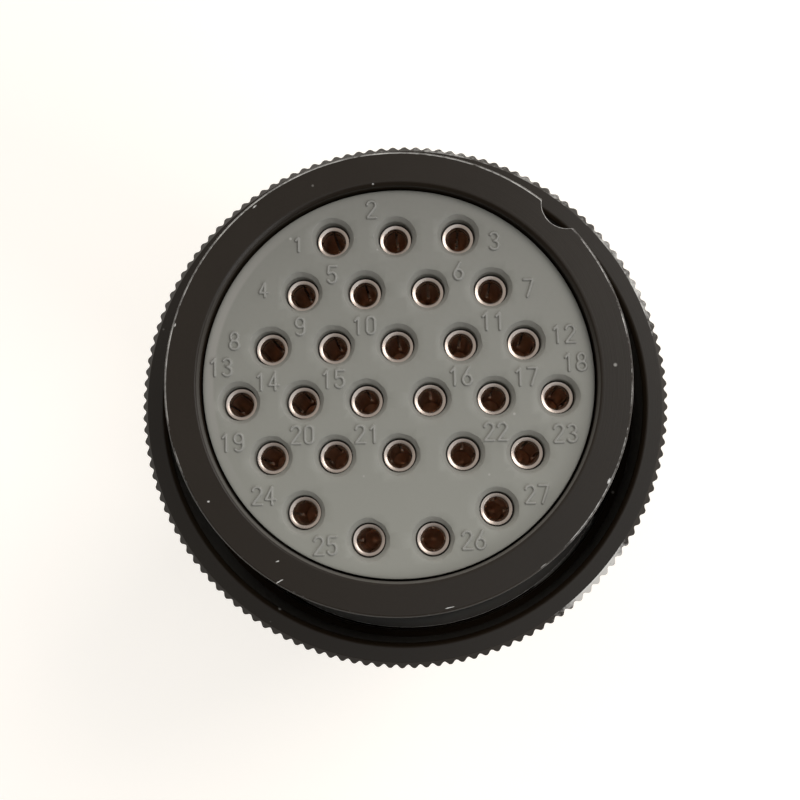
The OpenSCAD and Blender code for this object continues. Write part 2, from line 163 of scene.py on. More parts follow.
def make_piece(name, body, slot, verts, faces, marks, stands_for=()):
    """Makes a mesh object from vertices in millimetres, index arrays of three or four columns and named
    marks."""
    me = bpy.data.meshes.new(name)
    me.vertices.add(len(verts))
    me.vertices.foreach_set("co", (np.asarray(verts) * MM).astype(np.float32).ravel())
    sizes = np.concatenate([np.full(len(f), f.shape[1]) for f in faces])
    index = np.concatenate([f.ravel() for f in faces]).astype(np.int32)
    me.loops.add(len(index))
    me.loops.foreach_set("vertex_index", index)
    me.polygons.add(len(sizes))
    me.polygons.foreach_set("loop_start", np.concatenate([[0], np.cumsum(sizes)[:-1]]).astype(np.int32))
    me.polygons.foreach_set("use_smooth", np.ones(len(sizes), bool))
    me.update(calc_edges=True)
    for key, values in marks.items():
        mark = me.attributes.new(key, "FLOAT", "POINT")
        mark.data.foreach_set("value", np.asarray(values, np.float32).ravel())
    me.materials.append(FINISH[slot])
    obj = bpy.data.objects.new(name, me)
    bpy.context.collection.objects.link(obj)
    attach(obj, body)
    if stands_for:
        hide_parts(*stands_for)


def columns_of(outline, angles):
    """Stacks an outline of (r, z) pairs, where each may be a number or an array over the angles."""
    spread = [[np.broadcast_to(np.asarray(v, float), len(angles)) for v in pair] for pair in outline]
    return np.stack([np.stack(pair, -1) for pair in spread], 1)


def turned_piece(name, body, outline, fillets, angles, stands_for, steps=4, rub_and_highlight=None, bands=None, faded=None):
    """A closed outline of black metal, rounded at its corners and carried round the axis. The rubbing
    argument scales each corner's mark of wear, which is partly a painted highlight; bands gives such a mark
    over the angles to the whole side that follows a corner; and the last argument does so for a mark of
    painted light, which lifts the coat's colour."""
    per_corner = steps + 3
    points, wear_and_highlight = rounded(columns_of(outline, angles), fillets, steps)
    if rub_and_highlight is not None:
        wear_and_highlight = wear_and_highlight * np.repeat(rub_and_highlight, per_corner, 1)
    # Mark of painted light, which lifts the coat's colour where it is painted in.
    fade = np.zeros(wear_and_highlight.shape)
    for marks, given in ((wear_and_highlight, bands), (fade, faded)):
        for corner, mark in (given or {}).items():
            rows = slice((corner + 1) * per_corner - 1, (corner + 2) * per_corner - 1)
            marks[:, rows] = np.maximum(marks[:, rows], np.reshape(mark, (-1, 1)))
    verts = revolve(points, angles)
    faces = grid_faces(*verts.shape[:2])
    marks = {"wear_and_highlight": wear_and_highlight.T, "faded": fade.T}
    make_piece(name, body, "black_metal", verts.reshape(-1, 3), [faces], marks, stands_for)


def weld(verts, faces):
    """Finds vertices that share a place. Returns the ones to keep, and the faces on those."""
    _, first, back = np.unique(np.round(verts, 5), axis=0, return_index=True, return_inverse=True)
    back = back.ravel()
    return first, [back[f] for f in faces]


# Nodes
def add(tree, kind, **values):
    """Adds a node, sets its properties and its unlinked inputs, and links inputs that are given as sockets.
    in0, in1 and so on are inputs by their number."""
    node = tree.nodes.new(kind)
    for key, value in values.items():
        if hasattr(node, key) and key not in node.inputs:
            setattr(node, key, value)
            continue
        numbered = key.startswith("in") and key[2:].isdigit()
        socket = node.inputs[int(key[2:])] if numbered else node.inputs[key]
        if isinstance(value, bpy.types.NodeSocket):
            tree.links.new(value, socket)
        else:
            socket.default_value = value
    return node


def maths(tree, operation, a, b=0.0, clamp=False):
    """One arithmetic node."""
    return add(tree, "ShaderNodeMath", operation=operation, use_clamp=clamp, in0=a, in1=b).outputs[0]


def scaled(tree, value, factor):
    """A value times a factor."""
    return maths(tree, "MULTIPLY", value, factor)


def ramp(tree, value, start, end, height=1.0, kind="LINEAR"):
    """Runs from 0 at start to the height at end, and stays level beyond them."""
    node = add(tree, "ShaderNodeMapRange", interpolation_type=kind, Value=value)
    node.inputs["From Min"].default_value = start
    node.inputs["From Max"].default_value = end
    node.inputs["To Max"].default_value = height
    return node.outputs[0]


def mix(tree, share, a, b):
    """Mixes two colours, each given as a socket or as values."""
    node = add(tree, "ShaderNodeMix", data_type="RGBA")
    for socket, value in ((node.inputs[0], share), (node.inputs[6], a), (node.inputs[7], b)):
        if isinstance(value, bpy.types.NodeSocket):
            tree.links.new(value, socket)
        else:
            socket.default_value = value if isinstance(value, float) else (*value, 1.0)
    return node.outputs[2]


def place_of(tree):
    """Place in the object's own frame."""
    return add(tree, "ShaderNodeTexCoord").outputs["Object"]


def axes_of(tree, vector):
    """The three parts of a vector."""
    return add(tree, "ShaderNodeSeparateXYZ", Vector=vector).outputs


def attribute(tree, name):
    """A mark that the piece carries."""
    return add(tree, "ShaderNodeAttribute", attribute_name=name).outputs["Fac"]


# Shared groups
FLOAT, VECTOR = "NodeSocketFloat", "NodeSocketVector"


def group(name, inputs, outputs):
    """A shader node group with float inputs. Returns the group, its inputs' sockets and its output node."""
    tree = bpy.data.node_groups.new(name, "ShaderNodeTree")
    for label, default in inputs:
        socket = tree.interface.new_socket(label, in_out="INPUT", socket_type=FLOAT)
        socket.default_value = default
    for label, kind in outputs:
        tree.interface.new_socket(label, in_out="OUTPUT", socket_type=kind)
    return tree, tree.nodes.new("NodeGroupInput").outputs, tree.nodes.new("NodeGroupOutput")


def make_edge_wear():
    """Mask of rubbed edges, partly painted highlights: the piece's own mark of wear and painted highlight
    gives how much is rubbed, and noise breaks it into patches."""
    tree, given, out = group("edge_wear", [("Mark", 0.0)], [("Mask", FLOAT)])
    place = place_of(tree)
    coarse = add(tree, "ShaderNodeTexNoise", Vector=place, Scale=420.0, Detail=3.0).outputs[0]
    fine = add(tree, "ShaderNodeTexNoise", Vector=place, Scale=3500.0, Detail=2.0).outputs[0]
    patches = maths(tree, "ADD", scaled(tree, coarse, 0.9), scaled(tree, fine, 0.5))
    level = maths(tree, "ADD", given["Mark"], maths(tree, "SUBTRACT", patches, 1.05))
    cover = maths(tree, "MULTIPLY", level, 2.5, True)
    faint = maths(tree, "MULTIPLY", given["Mark"], 3.0, True)
    tree.links.new(maths(tree, "MULTIPLY", cover, faint), out.inputs["Mask"])
    return tree


def make_grain():
    """Fine surface grain: a value round 0.5 for roughness and colour, and a slightly bumped normal."""
    tree, given, out = group("fine_grain", [("Scale", 4000.0), ("Bump", 0.05)],
                             [("Value", FLOAT), ("Normal", VECTOR)])
    place = place_of(tree)
    fine = add(tree, "ShaderNodeTexNoise", Vector=place, Scale=given["Scale"], Detail=4.0).outputs[0]
    broad = add(tree, "ShaderNodeTexNoise", Vector=place, Scale=160.0, Detail=3.0).outputs[0]
    both = maths(tree, "ADD", scaled(tree, fine, 0.5), scaled(tree, broad, 0.5))
    bump = add(tree, "ShaderNodeBump", Strength=given["Bump"], Distance=0.00005, Height=fine)
    tree.links.new(both, out.inputs["Value"])
    tree.links.new(bump.outputs[0], out.inputs["Normal"])
    return tree


def make_turning():
    """Normal of fine turning lines: random ridges over the way run across a turned face, r + z."""
    tree, given, out = group("turning_lines", [("Scale", 9000.0), ("Bump", 0.7)], [("Normal", VECTOR)])
    x, y, z = axes_of(tree, place_of(tree))
    square = maths(tree, "ADD", maths(tree, "MULTIPLY", x, x), maths(tree, "MULTIPLY", y, y))
    run = maths(tree, "ADD", maths(tree, "SQRT", square), z)
    lines = add(tree, "ShaderNodeTexNoise", noise_dimensions="1D", W=run, Scale=given["Scale"], Detail=2.0)
    bump = add(tree, "ShaderNodeBump", Strength=given["Bump"], Distance=0.00002, Height=lines.outputs[0])
    tree.links.new(bump.outputs[0], out.inputs["Normal"])
    return tree


# Nicks on the rim: place, turn in degrees, half length and half width, and the depth of them all
NICKS = [((15.36, -7.87), 63, 0.24, 0.13), ((-8.95, -14.75), 29, 0.42, 0.05),
         ((-9.0, -13.25), 20, 0.13, 0.06), ((-14.1, -8.78), 0, 0.11, 0.09),
         ((-10.58, 13.48), 38, 0.2, 0.07), ((3.5, -16.8), 12, 0.4, 0.035),
         ((-1.56, 14.98), 0, 0.1, 0.07), ((-16.64, 4.5), 75, 0.16, 0.06)]
NICK_DEPTH = 0.2


def make_nicks():
    """Mask of a few nicks: the inside of a flat ellipse at each place, with a ragged edge."""
    tree, _, out = group("rim_nicks", [], [("Mask", FLOAT)])
    place = place_of(tree)
    ragged = add(tree, "ShaderNodeTexNoise", Vector=place, Scale=9000.0, Detail=1.0).outputs[0]
    total = 0.0
    for (x, y), turn, length, width in NICKS:
        flat = add(tree, "ShaderNodeMapping", vector_type="TEXTURE", Vector=place)
        flat.inputs["Location"].default_value = (x * MM, y * MM, Z_RIM * MM)
        flat.inputs["Rotation"].default_value = (0, 0, math.radians(turn))
        flat.inputs["Scale"].default_value = (length * MM, width * MM, NICK_DEPTH * MM)
        far = add(tree, "ShaderNodeVectorMath", operation="LENGTH", in0=flat.outputs[0]).outputs["Value"]
        near = ramp(tree, maths(tree, "ADD", far, ragged), 1.5, 1.0)
        total = maths(tree, "MAXIMUM", near, total)
    tree.links.new(total, out.inputs["Mask"])
    return tree


def make_dust():
    """Mask of sparse pale specks: the middles of a few cells of a random cell pattern."""
    tree, given, out = group("dust_specks", [("Scale", 900.0), ("Share", 0.02)], [("Mask", FLOAT)])
    cells = add(tree, "ShaderNodeTexVoronoi", Vector=place_of(tree), Scale=given["Scale"]).outputs
    pick = add(tree, "ShaderNodeSeparateColor", Color=cells["Color"]).outputs[0]
    chosen = maths(tree, "LESS_THAN", pick, given["Share"])
    near = ramp(tree, cells["Distance"], 0.22, 0.08)
    tree.links.new(maths(tree, "MULTIPLY", near, chosen, True), out.inputs["Mask"])
    return tree


EDGE_WEAR, GRAIN, DUST = make_edge_wear(), make_grain(), make_dust()
TURNING, NICK_MASK = make_turning(), make_nicks()


def use(tree, source, **values):
    """Adds one of the shared groups to a material."""
    node = tree.nodes.new("ShaderNodeGroup")
    node.node_tree = source
    for key, value in values.items():
        if isinstance(value, bpy.types.NodeSocket):
            tree.links.new(value, node.inputs[key])
        else:
            node.inputs[key].default_value = value
    return node.outputs


# Materials
# The second colour is painted light for inner faces; the third is worn metal, which also serves as a painted
# highlight on edges.
COAT, COAT_PAINTED_LIGHT, WORN_AND_HIGHLIT_METAL = (0.0125, 0.0078, 0.004), (0.075, 0.069, 0.06), (0.6, 0.59, 0.57)
COAT_ROUGH, COAT_DUST = 0.36, (0.55, 0.53, 0.5)
# The third grey is painted light for the lower part of the insert's face.
GREY_DARK, GREY_LIGHT, GREY_PAINTED_LOW_LIGHT = (0.165, 0.163, 0.145), (0.2, 0.196, 0.176), (0.28, 0.278, 0.245)
# The first grey here is painted light for the edge band and the countersinks; the second is a painted
# highlight for the numbers' tops.
GREY_PAINTED_EDGE_LIGHT, GREY_NUMBER_HIGHLIGHT, GREY_DUST = (0.29, 0.278, 0.256), (0.27, 0.265, 0.25), (0.6, 0.58, 0.55)
# The second value is painted shade for the tips of the contacts' tines.
GREY_ROUGH, TINE_TIP_SHADE = 0.48, (0.07, 0.04, 0.025)
# Plain finishes: colour, roughness, metallic, and the grain's scale, bump and spread of tone
PLAIN = {
    "hood_steel": ((0.37, 0.315, 0.28), 0.28, 1.0, 2200.0, 0.05, 0.06),
    "contact_brass": ((0.8, 0.58, 0.44), 0.42, 1.0, 2600.0, 0.05, 0.12),
    "black_rubber": ((0.036, 0.034, 0.031), 0.6, 0.0, 2400.0, 0.2, 0.12),
    "washer_steel": ((0.62, 0.61, 0.59), 0.3, 1.0, 2600.0, 0.05, 0.12),
    "spring_steel": ((0.2, 0.2, 0.21), 0.36, 1.0, 2600.0, 0.05, 0.12),
    "bare_metal": ((0.55, 0.55, 0.54), 0.32, 1.0, 2600.0, 0.05, 0.12),
    "insulator_dark": ((0.07, 0.07, 0.066), 0.5, 0.0, 2600.0, 0.1, 0.12),
}


def material(name):
    """An empty material. Returns it, its node tree and the inputs of its Principled node."""
    mat = bpy.data.materials.new(name)
    mat.use_nodes = True
    tree = mat.node_tree
    return mat, tree, tree.nodes["Principled BSDF"].inputs


def roughness(tree, grain, middle, spread):
    """A roughness that wanders round its middle value with the grain."""
    return maths(tree, "ADD", scaled(tree, grain["Value"], spread), middle - spread / 2)


def coated_metal():
    """Dark finish on turned metal with rubbed edges that are partly painted highlights, painted light on
    inner faces, a few nicks, fine grain and a few specks of dust.
    """
    mat, tree, inputs = material("black_metal")
    inputs["Specular IOR Level"].default_value = 0.28
    rubbed_and_highlit = use(tree, EDGE_WEAR, Mark=attribute(tree, "wear_and_highlight"))["Mask"]
    rubbed_and_highlit = maths(tree, "MAXIMUM", rubbed_and_highlit, use(tree, NICK_MASK)["Mask"])
    grain = use(tree, GRAIN, Scale=5200.0)
    specks = use(tree, DUST, Scale=1300.0, Share=0.012)["Mask"]
    tone = mix(tree, grain["Value"], [0.8 * c for c in COAT], [1.2 * c for c in COAT])
    # Painted light: inner faces are lifted to a paler coat.
    tone = mix(tree, attribute(tree, "faded"), tone, COAT_PAINTED_LIGHT)
    # Worn metal on rubbed edges, which partly stands for a painted highlight.
    tone = mix(tree, rubbed_and_highlit, tone, WORN_AND_HIGHLIT_METAL)
    tone = mix(tree, scaled(tree, specks, 0.45), tone, COAT_DUST)
    tree.links.new(tone, inputs["Base Color"])
    tree.links.new(scaled(tree, rubbed_and_highlit, 0.5), inputs["Metallic"])
    tree.links.new(roughness(tree, grain, COAT_ROUGH, 0.2), inputs["Roughness"])
    tree.links.new(use(tree, TURNING, Scale=12000.0, Bump=0.3)["Normal"], inputs["Normal"])
    return mat


def plain(name, base, rough, metallic, grain_scale, bump, spread):
    """One finish with fine grain in its colour, roughness and surface."""
    mat, tree, inputs = material(name)
    grain = use(tree, GRAIN, Scale=grain_scale, Bump=bump)
    dark, light = [(1 - spread) * c for c in base], [min(1, (1 + spread) * c) for c in base]
    tree.links.new(mix(tree, grain["Value"], dark, light), inputs["Base Color"])
    tree.links.new(roughness(tree, grain, rough, 0.16), inputs["Roughness"])
    inputs["Metallic"].default_value = metallic
    tree.links.new(grain["Normal"], inputs["Normal"])
    return mat


def insert_grey():
    """Moulded grey with a little dust, and painted light: paler towards the bottom by the last contacts and
    darker towards the top, paler on a stretch of the edge and in the countersinks, with painted highlights on
    the numbers' tops."""
    mat, tree, inputs = material("insert_grey")
    grain = use(tree, GRAIN, Scale=2600.0, Bump=0.1)
    specks = use(tree, DUST, Scale=1500.0, Share=0.02)["Mask"]
    # Painted light and shade: the face is painted paler towards the bottom and darker towards the top.
    paler = ramp(tree, axes_of(tree, place_of(tree))[1], INSERT_R * MM, -INSERT_R * MM)
    tone = mix(tree, grain["Value"], GREY_DARK, GREY_LIGHT)
    tone = mix(tree, scaled(tree, paler, 0.7), tone, GREY_PAINTED_LOW_LIGHT)
    # Painted light: the edge band at the left and the countersinks are painted paler.
    tone = mix(tree, scaled(tree, attribute(tree, "pale"), 0.7), tone, GREY_PAINTED_EDGE_LIGHT)
    # Painted highlight: the tops of the raised numbers are painted paler.
    tone = mix(tree, scaled(tree, attribute(tree, "number_highlight"), 0.6), tone, GREY_NUMBER_HIGHLIGHT)
    tone = mix(tree, scaled(tree, specks, 0.35), tone, GREY_DUST)
    tree.links.new(tone, inputs["Base Color"])
    tree.links.new(roughness(tree, grain, GREY_ROUGH, 0.16), inputs["Roughness"])
    tree.links.new(grain["Normal"], inputs["Normal"])
    return mat


def shade_tine_tips(mat):
    """Painted shade: darkens the contacts towards the tips of their tines, inside the hoods' mouths."""
    tree = mat.node_tree
    colour = tree.nodes["Principled BSDF"].inputs["Base Color"]
    tip = ramp(tree, axes_of(tree, place_of(tree))[2], (Z_TINE - 0.5) * MM, (Z_TINE - 0.1) * MM)
    tree.links.new(mix(tree, tip, colour.links[0].from_socket, TINE_TIP_SHADE), colour)


FINISH = {name: plain(name, *values) for name, values in PLAIN.items()}
FINISH["black_metal"] = coated_metal()
FINISH["insert_grey"] = insert_grey()
# Painted shade on the tine tips.
shade_tine_tips(FINISH["contact_brass"])
for part in frame["record"]["subparts"]:
    mesh = frame["nodes"][part["node"]].data
    mesh.materials.clear()
    mesh.materials.append(FINISH[part["material_slot"]])


# Turned shell with its round keyway
def shell_angles():
    """Even steps, with close ones across the keyway and closest at its two edges, in degrees from it."""
    edge = np.arange(4.9, 6.2, 0.05)
    near = np.concatenate([-edge, np.arange(-4.9, 4.95, 0.2), edge])
    rest = np.arange(7.5, 353, 1.5)
    return KEY_ANGLE + np.radians(np.unique(np.concatenate([near, rest])))


def key_radius(angle):
    """Distance from the axis to the keyway's round floor, or a large value beside it."""
    beside = 99
    d = (angle - KEY_ANGLE + math.pi) % (2 * math.pi) - math.pi
    under = KEY_R ** 2 - (KEY_PLACE_R * np.sin(d)) ** 2
    floor = KEY_PLACE_R * np.cos(d) - np.sqrt(np.maximum(under, 0))
    return np.where((under > 0) & (np.abs(d) < 1), floor, beside)


def build_shell():
    """Barrel, shoulder, hub and stub: one closed outline, cut back to the keyway's floor across its angles.
    The rubbing on an edge, partly a painted highlight, swells and fades round the axis as a cosine of the
    angle."""
    a = shell_angles()
    key = key_radius(a)
    wall, nose = np.minimum(BARREL_R, key), np.minimum(BARREL_R - RIM_BEVEL_R, key)
    z_key, bevel, z_groove = Z_BARREL + EDGE, EDGE / 2, Z_RETAINER + RETAINER_W
    outline = [
        (SEAT_R, Z_STUB), (STUB_R - EDGE, Z_STUB), (STUB_R, Z_STUB + EDGE), (STUB_R, STUB_GROOVE_Z),
        (STUB_GROOVE_R, STUB_GROOVE_Z), (STUB_GROOVE_R, Z_HUB), (HUB_R, Z_HUB), (HUB_R, Z_RETAINER),
        (RETAINER_R, Z_RETAINER), (RETAINER_R, z_groove), (HUB_R, z_groove), (HUB_R, Z_SHOULDER),
        (SHOULDER_R, Z_SHOULDER), (SHOULDER_R, Z_GASKET - bevel), (SHOULDER_R - bevel, Z_GASKET),
        (NECK_R, Z_GASKET), (NECK_R, Z_BARREL), (BARREL_R, Z_BARREL), (BARREL_R, z_key),
        (wall, z_key + STEP), (wall, Z_RIM - RIM_BEVEL_Z), (nose, Z_RIM), (BORE_R + BORE_BEVEL, Z_RIM),
        (BORE_R, Z_RIM - BORE_BEVEL), (BORE_R, Z_INSERT), (SEAT_R, Z_INSERT)]
    # First corners of the bevels on the shoulder, the rim's outside and its bore
    shoulder, rim, bore = 13, 20, 22
    fillets = np.full(len(outline), FILLET)
    fillets[rim:rim + 2] = RIM_FILLET
    fillets[bore:bore + 2] = BORE_BEVEL
    rub_and_highlight = np.full((len(a), len(outline)), 0.5)
    # Wear on the shoulder's edge, partly a painted highlight, strongest near 320 degrees.
    rub_and_highlight[:, shoulder:shoulder + 2] = 0.35 + 0.6 * np.cos(a - math.radians(320))[:, None]
    # Wear on the rim's outer edge, partly a painted reflection: brightest near 98 degrees, with more at 180
    # and 320.
    rim_rub_and_highlight = 0.41 + 0.21 * np.cos(a - math.radians(98))
    rim_rub_and_highlight += sum(h * stretch(a, c, w) for c, w, h in ((180, 9, 0.14), (320, 31, 0.17)))
    rub_and_highlight[:, rim:rim + 2] = rim_rub_and_highlight[:, None]
    rub_and_highlight[:, bore:bore + 2] = 0.05
    # Wear along the shoulder's edge, partly a painted highlight, near 316 degrees.
    line = stretch(a, 316, 13)
    # Painted light: the gap's floor and the neck wall are painted paler, and the bore's chamfer carries a
    # painted reflection, strongest near 265 degrees.
    painted_chamfer_light = np.clip(0.6 + 0.75 * np.cos(a - math.radians(265)), 0, 1)
    turned_piece("shell_surface", "plug_body", outline, fillets, a, ["plug_shell"], rub_and_highlight=np.clip(rub_and_highlight, 0, 1),
                 bands={shoulder: line}, faded={shoulder + 1: 1.0, shoulder + 2: 1.0, bore: painted_chamfer_light})


# Coupling ring
def build_ring():
    """Knurled ring: its outer radius waves between tips and roots as a power of a cosine of the angle."""
    sink, power, tooth_columns = 0.05, 1.25, 8
    a = even_turn(TEETH * tooth_columns)
    rise = RING_R - KNURL_ROOT_R
    tooth = RING_R - (rise + sink) * (0.5 - 0.5 * np.cos(TEETH * a)) ** power
    tail, z_knurl, lip = KNURL_ROOT_R - rise, Z_RING + RING_FOOT, RING_R - RING_CHAMFER
    outline = [
        (COUNTERBORE_R, Z_RING), (tail - EDGE, Z_RING), (tail, Z_RING + EDGE), (tail, z_knurl),
        (tooth, z_knurl + tooth - tail), (tooth, Z_RING_TOP - (tooth - lip)), (lip, Z_RING_TOP),
        (RING_BORE_R + RING_BORE_BEVEL, Z_RING_TOP), (RING_BORE_R, Z_RING_TOP - RING_BORE_BEVEL),
        (RING_BORE_R, Z_LEDGE), (COUNTERBORE_R, Z_LEDGE)]
    # First corners of the chamfer and of the bore's wall
    chamfer, bore = 5, 8
    fillets = [0.05, 0.08, 0.08, 0.05, 0.08, 0.04, 0.04, RING_BORE_BEVEL, RING_BORE_BEVEL, 0.03, 0.03]
    rub_and_highlight = np.tile([0.3, 0.5, 0.5, 0.3, 0.4, 0.3, 0.1, 0.04, 0.04, 0.1, 0.1], (len(a), 1))
    # Wear on the chamfer, partly a painted highlight: strongest near 316 degrees, fainter at 27 and 72.
    rubbed_and_highlit = sum(h * stretch(a, c, w) for c, w, h in ((316, 11, 1.0), (27, 20, 0.4), (72, 38, 0.42)))
    # Painted light: the ring's bore is painted paler.
    turned_piece("ring_surface", "ring", outline, fillets, a, ["coupling_ring"], steps=3, rub_and_highlight=rub_and_highlight,
                 bands={chamfer: rubbed_and_highlit}, faded={bore: 1.0})


def build_thread():
    """Inside thread of the ring: a blunt ridge carried along a helix, z = z0 + lead a / 2 pi, which fades at
    both ends."""
    lead, height, z0, z1 = 1.6, 0.5, 70.4, 73.8
    turn_columns, fade_turn = 160, math.radians(50)
    turns = (z1 - z0) / lead
    a = np.linspace(0, 2 * math.pi * turns, int(turns * turn_columns))
    fade = smooth(np.minimum(a, a[-1] - a) / fade_turn)
    across = np.array([-0.62, -0.5, -0.26, -0.2, 0.2, 0.26, 0.5, 0.62])
    up = np.array([-0.06, 0.0, 0.93, 1.0, 1.0, 0.93, 0.0, -0.06])[:, None]
    z = z0 + lead * a / (2 * math.pi) + across[:, None] * 0.5 * lead
    r = RING_BORE_R - np.where(up > 0, up * height * fade, up)
    verts = np.stack([r * np.cos(a), r * np.sin(a), z], -1)
    rows, columns = verts.shape[:2]
    faces = grid_faces(rows, columns)
    faces = faces[faces[:, 0] % columns != columns - 1]
    caps = [np.arange(rows) * columns, np.arange(rows) * columns + columns - 1]
    fans = [np.stack([np.full(rows - 2, k[0]), k[1:-1], k[2:]], -1) for k in caps]
    make_piece("ring_thread", "ring", "black_metal", verts.reshape(-1, 3),
               [faces[:, ::-1], fans[0], fans[1][:, ::-1]], {"wear_and_highlight": np.zeros(rows * columns)})


# Contact numbers
def arc(cx, cy, rx, ry, start, end, n=12):
    """Points along part of an ellipse, with angles in degrees."""
    a = np.radians(np.linspace(start, end, n))
    return list(zip(cx + rx * np.cos(a), cy + ry * np.sin(a)))


DIGITS = {
    "0": [arc(0, 0.36, 0.3, 0.29, 0, 180) + arc(0, -0.36, 0.3, 0.29, 180, 360) + [(0.3, 0.36)]],
    "1": [[(-0.2, 0.36), (0.06, 0.65), (0.06, -0.65)]],
    "2": [arc(0, 0.32, 0.33, 0.33, 170, -35) + [(-0.34, -0.65), (0.35, -0.65)]],
    "3": [arc(-0.02, 0.33, 0.31, 0.32, 150, -90) + arc(-0.02, -0.32, 0.34, 0.33, 90, -150)],
    "4": [[(0.36, -0.3), (-0.36, -0.3), (0.12, 0.65), (0.12, -0.65)]],
    "5": [[(0.3, 0.65), (-0.26, 0.65), (-0.3, 0.06)] + arc(-0.02, -0.24, 0.34, 0.41, 130, -150)],
    "6": [[(0.14, 0.65)] + arc(0, -0.27, 0.33, 0.38, 155, 515, 22)],
    "7": [[(-0.34, 0.65), (0.34, 0.65), (-0.1, -0.65)]],
    "8": [arc(0, 0.33, 0.28, 0.32, -90, 270, 20), arc(0, -0.32, 0.34, 0.33, 90, 450, 20)],
    "9": [arc(0, 0.29, 0.32, 0.36, 0, 360, 20) + [(0.32, -0.25)] + arc(0, -0.3, 0.32, 0.35, 0, -140, 8)],
}
# Places of the numbers, from their own contacts
LABELS = [(-2.62, -0.4), (-1.77, 2.18), (2.74, -0.54), (-2.89, 0.32), (-2.44, 1.34), (2.36, 1.37),
          (2.81, -0.08), (-2.72, 0.57), (-2.52, 1.56), (-2.45, 1.51), (2.42, 1.61), (2.92, 0.5),
          (-1.37, 2.73), (-2.65, 1.57), (-2.46, 1.63), (2.32, 1.62), (2.42, 1.49), (1.3, 2.51),
          (-2.92, 1.17), (-2.42, 1.63), (-2.38, 1.59), (2.44, 1.57), (2.81, 1.32), (-2.95, 1.3),
          (-3.18, -0.35), (3.01, -0.13), (2.95, 1.01)]
SMALL_NUMBERS, SMALL_SCALE = ("1", "4"), 0.84
STROKE_TOP, STROKE_FOOT, STROKE_RISE, ADVANCE = 0.06, 0.125, 0.16, 1.0


def number_strokes(i):
    """Lines of one contact's number on the face, each a list of points."""
    word = str(i + 1)
    centre = PLACES[i] + LABELS[i]
    shifts = [centre + [(k - (len(word) - 1) / 2) * ADVANCE, 0] for k in range(len(word))]
    scale = SMALL_SCALE if word in SMALL_NUMBERS else 1.0
    return [scale * np.asarray(line) + shift for digit, shift in zip(word, shifts) for line in DIGITS[digit]]


def ridge_points(line, reaches):
    """Points beside a line: at even steps along it, each reach to both sides, and circles round its ends.
    Returns them with their reaches."""
    along_step, turn_step = 0.07, 30
    run = np.concatenate([[0], np.cumsum(np.hypot(*np.diff(line, axis=0).T))])
    at = np.linspace(0, run[-1], max(3, int(run[-1] / along_step)))
    mid = np.stack([np.interp(at, run, line[:, k]) for k in (0, 1)], -1)
    along = np.gradient(mid, axis=0)
    along /= np.maximum(np.hypot(*along.T), 1e-9)[:, None]
    across = np.stack([-along[:, 1], along[:, 0]], -1)
    turn = np.radians(np.arange(0, 360, turn_step))
    spokes = np.stack([np.cos(turn), np.sin(turn)], -1)
    points = [mid + side * r * across for r in reaches for side in (-1, 1)]
    points += [q + r * spokes for r in reaches if r for q in (line[0], line[-1])]
    sizes = [np.full(len(mid), r) for r in reaches for _ in (0, 1)]
    sizes += [np.full(len(spokes), r) for r in reaches if r for _ in (0, 1)]
    return np.concatenate(points), np.concatenate(sizes)


def line_distance(points, lines, batch=4000):
    """Least distance of each point from a set of line pieces, worked out a batch of points at a time."""
    a, b = lines[:, 0], lines[:, 1]
    ab = b - a
    least = []
    for start in range(0, len(points), batch):
        some = points[start:start + batch, None]
        t = ((some - a) * ab).sum(2) / np.maximum((ab ** 2).sum(1), 1e-12)
        foot = a + np.clip(t, 0, 1)[..., None] * ab
        least.append(np.linalg.norm(some - foot, axis=2).min(1))
    return np.concatenate(least)


# Insert
ROUND_N, HOLE_N = 240, 72
FACE_R, BAND_R = INSERT_R - 0.05, INSERT_R - 0.8
GRID_REACH, GRID_STEP, BAND_RUNS = 14, 0.7, (-0.1, 0.1, 0.4, 0.6)
PAINTED_LIGHT_ANGLE, PAINTED_LIGHT_WIDTH = 168, 38
EDGE_SEED, SIZE_SEED, WOBBLE, WOBBLE_SPREAD = 40, 90, 0.045, 0.025
HOLE_EDGE_R, HOLE_FOOT_R = RECESS_R + 0.06, HOOD_R + 0.06
# Wall of a contact hole from the face down: radius, height, share of the edge's wobble, and painted light,
# the share by which the countersink is painted paler
HOLE_WALL = np.array([
    (HOLE_EDGE_R, Z_FACE, 1, 0), (HOLE_EDGE_R - 0.02, Z_FACE - 0.01, 1, 0.6),
    (HOLE_EDGE_R - 0.05, Z_FACE - 0.04, 0.9, 0.6), (HOLE_FOOT_R + 0.04, Z_FACE - 0.34, 0.3, 0.4),
    (HOLE_FOOT_R + 0.01, Z_FACE - 0.39, 0.1, 0.2), (HOLE_FOOT_R, Z_FACE - 0.45, 0, 0),
    (HOLE_FOOT_R, Z_SEAM, 0, 0), (CAVITY_R, Z_SEAM - 0.1, 0, 0), (CAVITY_R, Z_INSERT, 0, 0)])
# Bevel round the face: how far in from the outside, and how far down from the face
FACE_BEVEL = [(0, 0.07), (0.008, 0.035), (0.025, 0.01)]


def circle(r, n, at=(0, 0), wobble=0.0):
    """Points round a circle, each pushed out by its own small wobble."""
    a = even_turn(n)
    r = r + wobble
    return np.stack([at[0] + r * np.cos(a), at[1] + r * np.sin(a)], -1)


